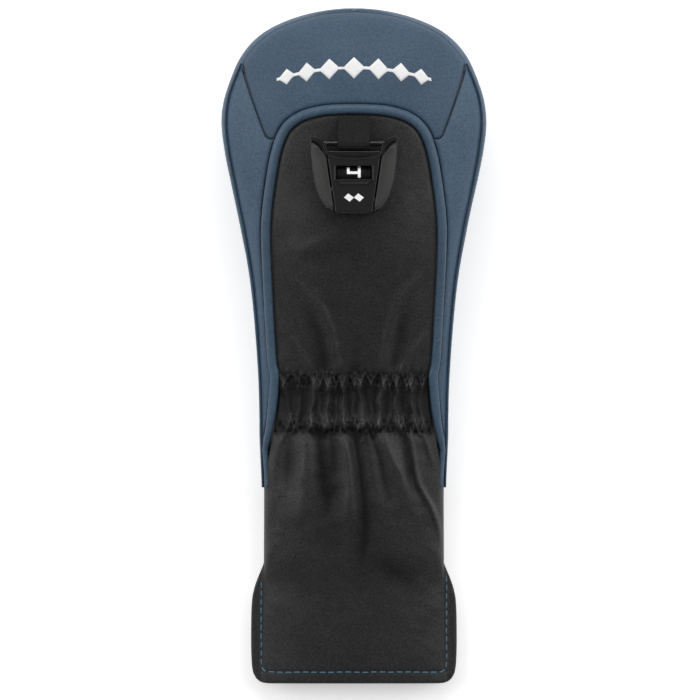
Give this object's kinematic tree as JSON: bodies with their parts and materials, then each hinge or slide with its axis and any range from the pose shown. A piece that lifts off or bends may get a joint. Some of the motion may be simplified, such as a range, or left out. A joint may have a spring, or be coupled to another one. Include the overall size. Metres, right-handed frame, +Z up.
{
  "type": "golf club head cover",
  "caption": "Padded head cover for a fairway wood, lying on its back: blue crown and sides, black insert, shirred waist, sleeve with open cuff, and a swinging number tag on a webbing loop.",
  "frame": {"origin": "centre of the bounding box on the plane that the cover lies on", "axes": "+Z up through the front face, +Y from the mouth towards the crown, +X to the right when the front is seen with the crown up"},
  "size_m": [0.1256, 0.32, 0.0586],
  "materials": {
    "blue_coated_fabric": "satin",
    "blue_piping": "satin",
    "black_twill": "satin",
    "elastic": "matte",
    "foam": "matte",
    "fleece": "matte",
    "blue_thread": "matte",
    "white_thread": "satin",
    "black_webbing": "matte",
    "gloss_black": "gloss",
    "satin_black": "satin",
    "satin_grey": "satin",
    "steel": "brushed"
  },
  "bodies": {
    "cover": {"crown_panel": "blue_coated_fabric", "side_panel_left": "blue_coated_fabric", "side_panel_right": "blue_coated_fabric", "back_panel": "blue_coated_fabric", "insert_piping": "blue_piping", "front_insert_panel": "black_twill", "waist_gather_band": "black_twill", "sock_front_panel": "black_twill", "sock_back_panel": "black_twill", "waist_elastic": "elastic", "padding_front": "foam", "padding_back": "foam", "lining_front": "fleece", "lining_back": "fleece", "mouth_facing_front": "black_twill", "mouth_facing_back": "black_twill", "cuff_topstitch": "blue_thread", "crown_embroidery": "white_thread"},
    "strap": {"webbing_strap": "black_webbing"},
    "tag": {"tag_front_shell": "gloss_black", "tag_back_cover": "satin_black", "wing_cap_left": "satin_grey", "wing_cap_right": "satin_grey", "drum_axle": "steel", "detent_spring": "steel", "cover_screw_left": "steel", "cover_screw_right": "steel"},
    "drum": {"number_drum": "satin_black"}
  },
  "joints": [
    {"name": "strap_lift", "type": "hinge", "parent": "cover", "child": "strap", "pos_m": [0, 0.107, 0.05], "axis": [-1, 0, 0], "range_deg": [0, 90]},
    {"name": "tag_swing", "type": "hinge", "parent": "strap", "child": "tag", "pos_m": [0, 0.0956, 0.0534], "axis": [-1, 0, 0], "range_deg": [0, 80]},
    {"name": "number_turn", "type": "hinge", "parent": "tag", "child": "drum", "pos_m": [0, 0.0809, 0.0535], "axis": [1, 0, 0], "continuous": true}
  ]
}
